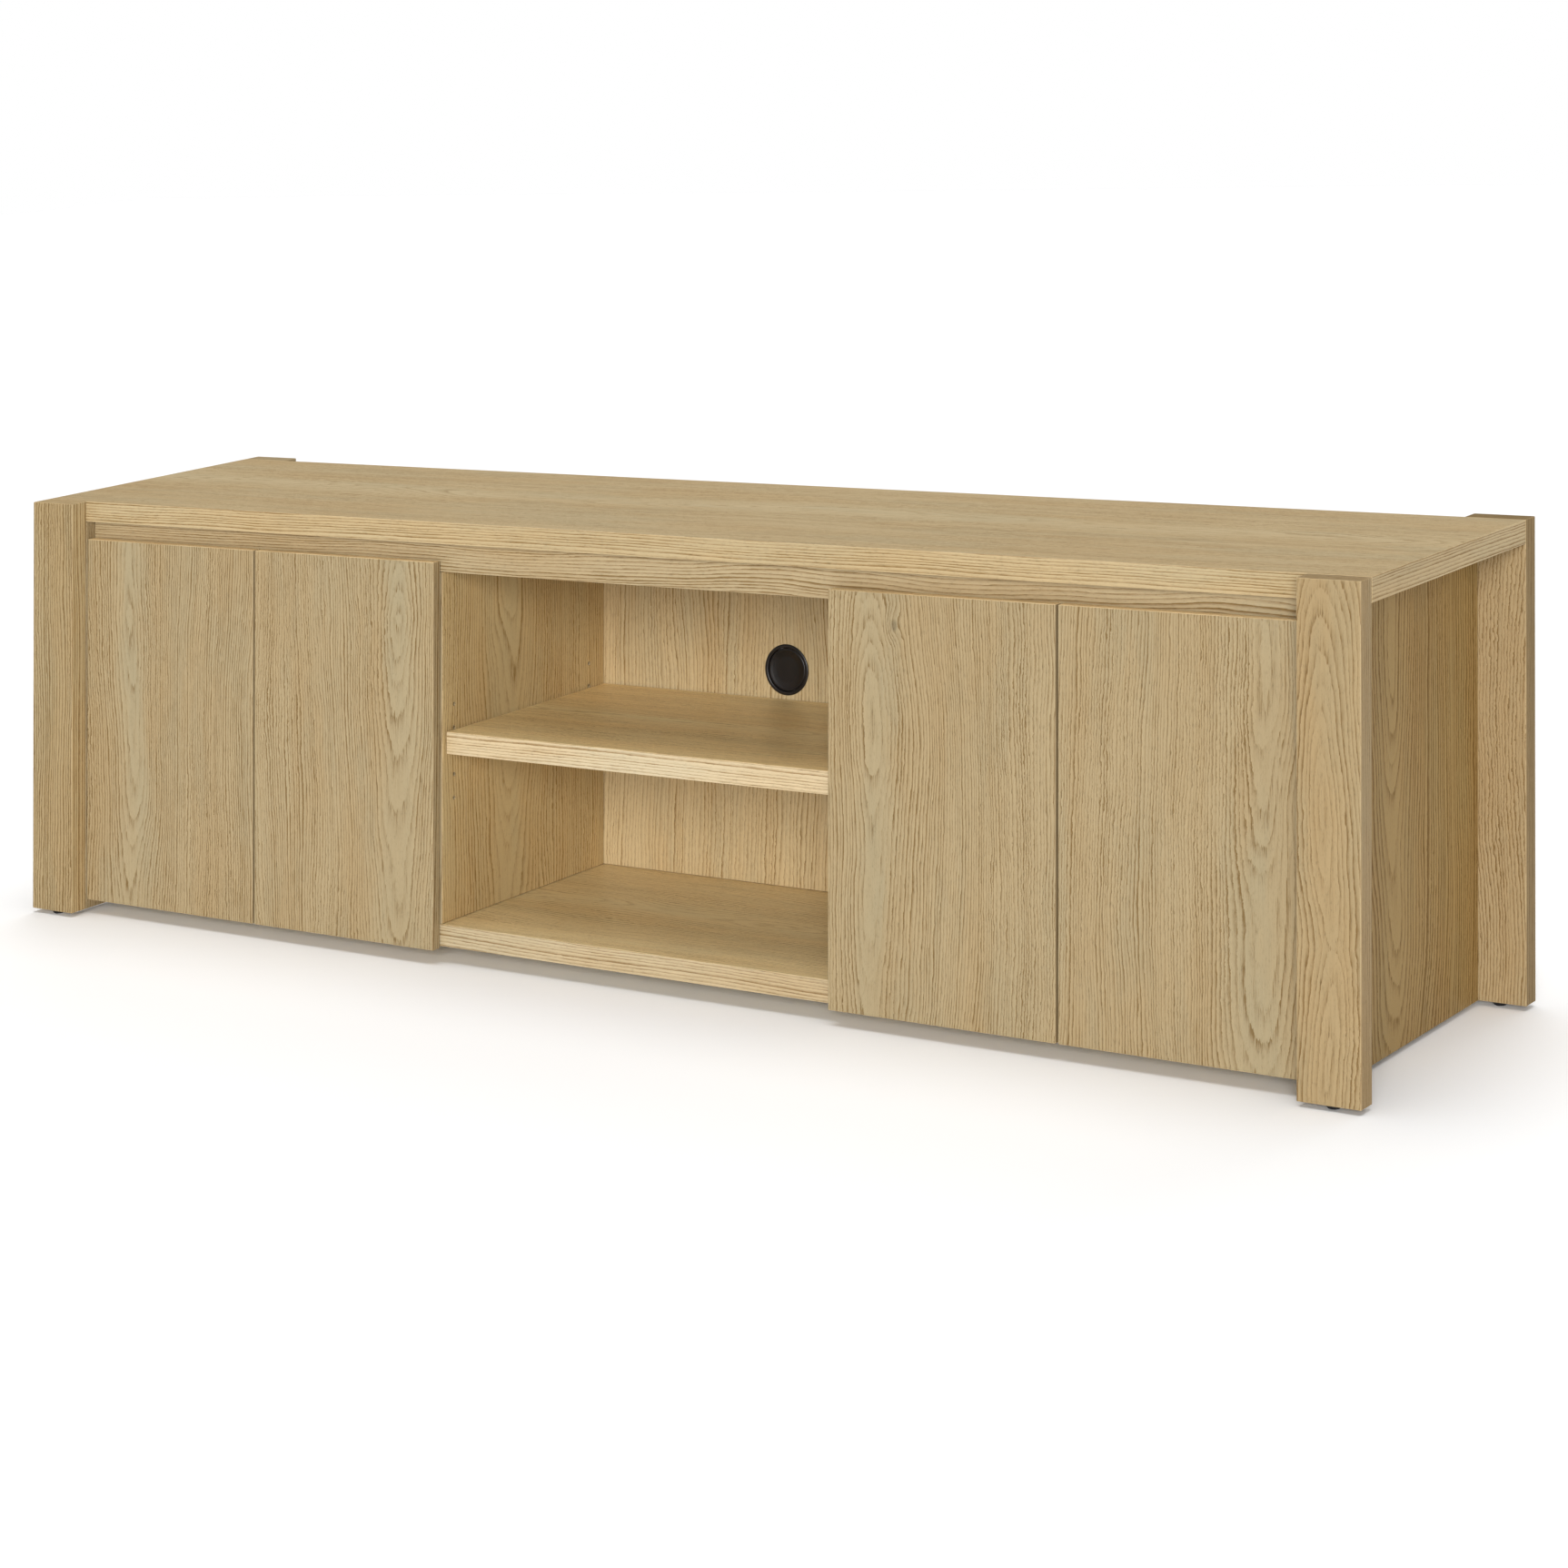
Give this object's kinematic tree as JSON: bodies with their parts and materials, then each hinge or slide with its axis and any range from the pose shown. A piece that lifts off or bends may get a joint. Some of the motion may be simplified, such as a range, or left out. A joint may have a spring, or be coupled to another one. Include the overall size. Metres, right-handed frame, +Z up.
{
  "type": "media cabinet",
  "caption": "Low oak media cabinet with slab doors on both sides, an open shelved centre bay, flat corner posts and a cable grommet.",
  "frame": {"origin": "centre of the footprint, on the floor", "axes": "+X along the width towards the cabinet's right-hand end as seen from the front, +Y towards the back, +Z up"},
  "size_m": [1.78, 0.43, 0.515],
  "materials": {
    "oak_top": "satin oak veneer, grain along the width",
    "oak_post": "satin oak veneer, upright grain",
    "oak_door": "satin oak veneer, upright grain",
    "oak_rail": "satin oak veneer, grain along the width",
    "oak_side": "satin oak veneer, upright grain",
    "oak_inside": "satin oak veneer",
    "oak_back": "satin oak veneer, upright grain",
    "oak_shelf": "satin oak veneer, grain along the width",
    "black_plastic": "moulded, satin",
    "clear_rubber": "soft, milky",
    "nickel_steel": "nickel plated"
  },
  "bodies": {
    "cabinet": {"top_panel": "oak_top", "front_left_post": "oak_post", "front_left_glide": "black_plastic", "front_right_post": "oak_post", "front_right_glide": "black_plastic", "rear_left_post": "oak_post", "rear_left_glide": "black_plastic", "rear_right_post": "oak_post", "rear_right_glide": "black_plastic", "bottom_panel": "oak_inside", "top_rail": "oak_rail", "back_panel": "oak_back", "left_side_panel": "oak_side", "left_partition": "oak_inside", "right_side_panel": "oak_side", "right_partition": "oak_inside", "left_shelf": "oak_shelf", "left_shelf_left_front_support": "nickel_steel", "left_shelf_left_rear_support": "nickel_steel", "left_shelf_right_front_support": "nickel_steel", "left_shelf_right_rear_support": "nickel_steel", "centre_shelf": "oak_shelf", "centre_shelf_left_front_support": "nickel_steel", "centre_shelf_left_rear_support": "nickel_steel", "centre_shelf_right_front_support": "nickel_steel", "centre_shelf_right_rear_support": "nickel_steel", "right_shelf": "oak_shelf", "right_shelf_left_front_support": "nickel_steel", "right_shelf_left_rear_support": "nickel_steel", "right_shelf_right_front_support": "nickel_steel", "right_shelf_right_rear_support": "nickel_steel", "left_outer_door_lower_hinge_arm": "nickel_steel", "left_outer_door_upper_hinge_arm": "nickel_steel", "left_outer_door_bumper": "clear_rubber", "left_inner_door_lower_hinge_arm": "nickel_steel", "left_inner_door_upper_hinge_arm": "nickel_steel", "left_inner_door_bumper": "clear_rubber", "right_outer_door_lower_hinge_arm": "nickel_steel", "right_outer_door_upper_hinge_arm": "nickel_steel", "right_outer_door_bumper": "clear_rubber", "right_inner_door_lower_hinge_arm": "nickel_steel", "right_inner_door_upper_hinge_arm": "nickel_steel", "right_inner_door_bumper": "clear_rubber", "cable_grommet": "black_plastic"},
    "left_outer_door_leaf": {"left_outer_door": "oak_door", "left_outer_door_lower_hinge_cup": "nickel_steel", "left_outer_door_upper_hinge_cup": "nickel_steel"},
    "left_inner_door_leaf": {"left_inner_door": "oak_door", "left_inner_door_lower_hinge_cup": "nickel_steel", "left_inner_door_upper_hinge_cup": "nickel_steel"},
    "right_outer_door_leaf": {"right_outer_door": "oak_door", "right_outer_door_lower_hinge_cup": "nickel_steel", "right_outer_door_upper_hinge_cup": "nickel_steel"},
    "right_inner_door_leaf": {"right_inner_door": "oak_door", "right_inner_door_lower_hinge_cup": "nickel_steel", "right_inner_door_upper_hinge_cup": "nickel_steel"},
    "grommet_cap_body": {"grommet_cap": "black_plastic"}
  },
  "joints": [
    {"name": "left_outer_door_hinge", "type": "hinge", "parent": "cabinet", "child": "left_outer_door_leaf", "pos_m": [-0.8214, -0.189, 0.24235], "axis": [0, 0, -1], "range_deg": [0, 90]},
    {"name": "left_inner_door_hinge", "type": "hinge", "parent": "cabinet", "child": "left_inner_door_leaf", "pos_m": [-0.2694, -0.189, 0.24235], "axis": [0, 0, 1], "range_deg": [0, 110]},
    {"name": "right_outer_door_hinge", "type": "hinge", "parent": "cabinet", "child": "right_outer_door_leaf", "pos_m": [0.8214, -0.189, 0.24235], "axis": [0, 0, 1], "range_deg": [0, 90]},
    {"name": "right_inner_door_hinge", "type": "hinge", "parent": "cabinet", "child": "right_inner_door_leaf", "pos_m": [0.2694, -0.189, 0.24235], "axis": [0, 0, -1], "range_deg": [0, 110]},
    {"name": "grommet_cap_pull", "type": "slide", "parent": "cabinet", "child": "grommet_cap_body", "axis": [0, -1, 0], "range_m": [0, 0.015]}
  ]
}
